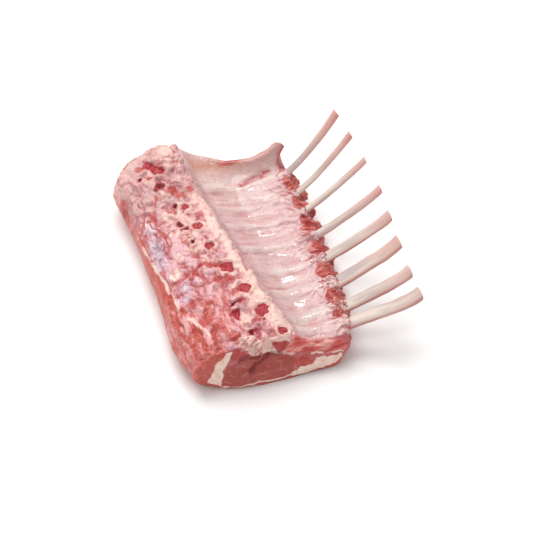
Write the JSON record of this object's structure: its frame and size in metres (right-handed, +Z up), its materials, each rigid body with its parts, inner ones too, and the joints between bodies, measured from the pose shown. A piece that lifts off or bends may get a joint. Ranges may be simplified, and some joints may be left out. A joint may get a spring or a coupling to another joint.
{
  "type": "raw rack of lamb",
  "caption": "Raw frenched rack of lamb on its outer side, the rib side up: loin with sawn backbone, thin rib meat under pale membrane, and bare curved rib bones.",
  "frame": {"origin": "the middle of the whole rack's bounding box, at the level of the table it lies on", "axes": "+Z up, +Y along the spine from the shoulder end to the loin end, +X across the rack towards the rib tips"},
  "size_m": [0.1776, 0.2194, 0.0686],
  "materials": {
    "lean": "wet raw lean meat, pink to red, with pale membrane over the rib side",
    "cap": "raw lean muscle, orange-red, smooth and moist",
    "fat": "firm raw lamb fat, cream, satin",
    "sawn_bone": "sawn backbone under fat, cream and pink with dark red marrow",
    "rib_bone": "scraped bone, grey-cream turning pink towards the sawn tip, satin"
  },
  "bodies": {
    "root": {"loin_meat": "lean", "cap_muscle": "cap", "fat_seam": "fat", "chine_bone": "sawn_bone", "rib_1": "rib_bone", "rib_2": "rib_bone", "rib_3": "rib_bone", "rib_4": "rib_bone", "rib_5": "rib_bone", "rib_6": "rib_bone", "rib_7": "rib_bone", "rib_8": "rib_bone"}
  },
  "joints": []
}
